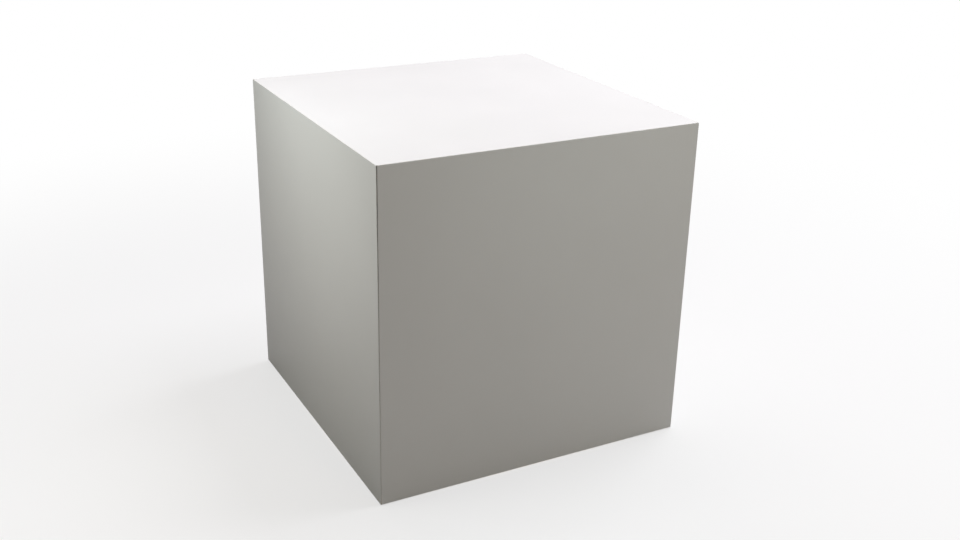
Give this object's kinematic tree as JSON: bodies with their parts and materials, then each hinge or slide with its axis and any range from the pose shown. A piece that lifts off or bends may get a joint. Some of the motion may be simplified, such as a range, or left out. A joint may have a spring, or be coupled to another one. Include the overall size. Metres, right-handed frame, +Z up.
{
  "type": "display cube",
  "caption": "White laminate-clad display cube with sharp edges, a hollow open base and hidden screw-adjustable levelling feet.",
  "frame": {"origin": "on the floor under the middle of the cube, at the level of the foot pads' undersides", "axes": "+Z up out of the top face, -Y out of the front face, which is the wide right-hand face in the picture, -X out of the left face"},
  "size_m": [0.5, 0.5, 0.5],
  "materials": {
    "white_laminate": "satin",
    "fibreboard": "matte",
    "softwood": "matte",
    "zinc_steel": "satin",
    "black_nylon": "matte"
  },
  "bodies": {
    "carcass": {"back_laminate": "white_laminate", "back_panel": "fibreboard", "cleat_back": "softwood", "cleat_front": "softwood", "cleat_left": "softwood", "cleat_right": "softwood", "cleat_screws": "zinc_steel", "front_laminate": "white_laminate", "front_panel": "fibreboard", "left_laminate": "white_laminate", "left_panel": "fibreboard", "post_back_left": "softwood", "post_back_right": "softwood", "post_front_left": "softwood", "post_front_right": "softwood", "post_screws": "zinc_steel", "right_laminate": "white_laminate", "right_panel": "fibreboard", "tee_nuts": "zinc_steel", "top_laminate": "white_laminate", "top_panel": "fibreboard"},
    "pad_front_left": {"foot_pad_front_left": "black_nylon"},
    "stem_front_left": {"foot_stem_front_left": "zinc_steel"},
    "pad_front_right": {"foot_pad_front_right": "black_nylon"},
    "stem_front_right": {"foot_stem_front_right": "zinc_steel"},
    "pad_back_left": {"foot_pad_back_left": "black_nylon"},
    "stem_back_left": {"foot_stem_back_left": "zinc_steel"},
    "pad_back_right": {"foot_pad_back_right": "black_nylon"},
    "stem_back_right": {"foot_stem_back_right": "zinc_steel"}
  },
  "joints": [
    {"name": "foot_lift_front_left", "type": "slide", "parent": "carcass", "child": "pad_front_left", "axis": [0, 0, -1], "range_m": [0, 0.01]},
    {"name": "foot_turn_front_left", "type": "hinge", "parent": "pad_front_left", "child": "stem_front_left", "pos_m": [-0.2122, -0.2122, 0.01], "axis": [0, 0, -1], "range_deg": [0, 2880]},
    {"name": "foot_lift_front_right", "type": "slide", "parent": "carcass", "child": "pad_front_right", "axis": [0, 0, -1], "range_m": [0, 0.01]},
    {"name": "foot_turn_front_right", "type": "hinge", "parent": "pad_front_right", "child": "stem_front_right", "pos_m": [0.2122, -0.2122, 0.01], "axis": [0, 0, -1], "range_deg": [0, 2880]},
    {"name": "foot_lift_back_left", "type": "slide", "parent": "carcass", "child": "pad_back_left", "axis": [0, 0, -1], "range_m": [0, 0.01]},
    {"name": "foot_turn_back_left", "type": "hinge", "parent": "pad_back_left", "child": "stem_back_left", "pos_m": [-0.2122, 0.2122, 0.01], "axis": [0, 0, -1], "range_deg": [0, 2880]},
    {"name": "foot_lift_back_right", "type": "slide", "parent": "carcass", "child": "pad_back_right", "axis": [0, 0, -1], "range_m": [0, 0.01]},
    {"name": "foot_turn_back_right", "type": "hinge", "parent": "pad_back_right", "child": "stem_back_right", "pos_m": [0.2122, 0.2122, 0.01], "axis": [0, 0, -1], "range_deg": [0, 2880]}
  ],
  "couplings": [
    {"joint": "foot_lift_front_left", "follows": "foot_turn_front_left", "m_per_rad": 0.00019894},
    {"joint": "foot_lift_front_right", "follows": "foot_turn_front_right", "m_per_rad": 0.00019894},
    {"joint": "foot_lift_back_left", "follows": "foot_turn_back_left", "m_per_rad": 0.00019894},
    {"joint": "foot_lift_back_right", "follows": "foot_turn_back_right", "m_per_rad": 0.00019894}
  ]
}
